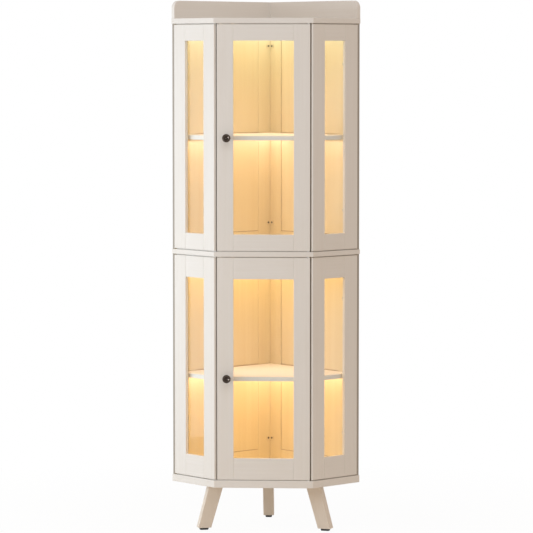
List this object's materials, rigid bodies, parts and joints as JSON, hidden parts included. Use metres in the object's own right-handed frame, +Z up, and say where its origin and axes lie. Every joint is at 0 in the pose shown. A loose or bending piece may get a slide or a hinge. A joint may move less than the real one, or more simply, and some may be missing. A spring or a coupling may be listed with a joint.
{
  "type": "corner display cabinet",
  "caption": "Tall five-sided corner display cabinet: stacked glazed doors on pivots, glazed facets, shelves, puck lights, a rear gallery and splayed legs.",
  "frame": {"origin": "on the floor, under the middle of the overall width and depth, knobs included", "axes": "+Z up, -Y out of the front through the doors, +X to the right as seen from the front; the rear corner points along +Y"},
  "size_m": [0.64, 0.4954, 1.794],
  "materials": {
    "cream_paint": "cream satin paint over fibreboard and wood, faint upright brush grain",
    "painted_panel": "thin hardboard, cream satin paint",
    "clear_glass": "clear polished",
    "dark_bronze": "dark oil-rubbed bronze",
    "black_plastic": "matt moulded",
    "white_plastic": "satin moulded",
    "clear_plastic": "milky moulded",
    "light_lens": "frosted, lit warm from behind",
    "zinc_steel": "zinc plated",
    "black_steel": "blackened"
  },
  "bodies": {
    "cabinet": {"bottom_board": "cream_paint", "corner_bracket_screws": "black_steel", "corner_brackets": "zinc_steel", "foot_glides": "black_plastic", "front_left_leg": "cream_paint", "front_right_leg": "cream_paint", "gallery_left": "cream_paint", "gallery_right": "cream_paint", "leg_bolts": "zinc_steel", "light_housings": "white_plastic", "light_lenses": "light_lens", "lower_back_panels": "painted_panel", "lower_back_rails": "cream_paint", "lower_left_rear_post": "cream_paint", "lower_left_window_glass": "clear_glass", "lower_left_window_rails": "cream_paint", "lower_left_window_stiles": "cream_paint", "lower_right_rear_post": "cream_paint", "lower_right_window_glass": "clear_glass", "lower_right_window_rails": "cream_paint", "lower_right_window_stiles": "cream_paint", "lower_shelf": "cream_paint", "lower_wall_stiles": "cream_paint", "magnetic_catches": "white_plastic", "middle_board": "cream_paint", "pivot_bushes": "white_plastic", "rear_leg": "cream_paint", "shelf_pins": "zinc_steel", "top_board": "cream_paint", "upper_back_panels": "painted_panel", "upper_back_rails": "cream_paint", "upper_left_rear_post": "cream_paint", "upper_left_window_glass": "clear_glass", "upper_left_window_rails": "cream_paint", "upper_left_window_stiles": "cream_paint", "upper_right_rear_post": "cream_paint", "upper_right_window_glass": "clear_glass", "upper_right_window_rails": "cream_paint", "upper_right_window_stiles": "cream_paint", "upper_shelf": "cream_paint", "upper_wall_stiles": "cream_paint", "window_glass_clips": "clear_plastic"},
    "upper_door": {"upper_door_glass": "clear_glass", "upper_door_glass_clips": "clear_plastic", "upper_door_hinge_stile": "cream_paint", "upper_door_knob": "dark_bronze", "upper_door_knob_screw": "zinc_steel", "upper_door_knob_stile": "cream_paint", "upper_door_pivot_pins": "zinc_steel", "upper_door_rails": "cream_paint", "upper_door_strike_plate": "zinc_steel"},
    "lower_door": {"lower_door_glass": "clear_glass", "lower_door_glass_clips": "clear_plastic", "lower_door_hinge_stile": "cream_paint", "lower_door_knob": "dark_bronze", "lower_door_knob_screw": "zinc_steel", "lower_door_knob_stile": "cream_paint", "lower_door_pivot_pins": "zinc_steel", "lower_door_rails": "cream_paint", "lower_door_strike_plate": "zinc_steel"}
  },
  "joints": [
    {"name": "upper_door_hinge", "type": "hinge", "parent": "cabinet", "child": "upper_door", "pos_m": [0.15028, -0.2167, 1.334], "axis": [0, 0, 1], "range_deg": [0, 110]},
    {"name": "lower_door_hinge", "type": "hinge", "parent": "cabinet", "child": "lower_door", "pos_m": [0.15028, -0.2167, 0.5575], "axis": [0, 0, 1], "range_deg": [0, 110]}
  ]
}
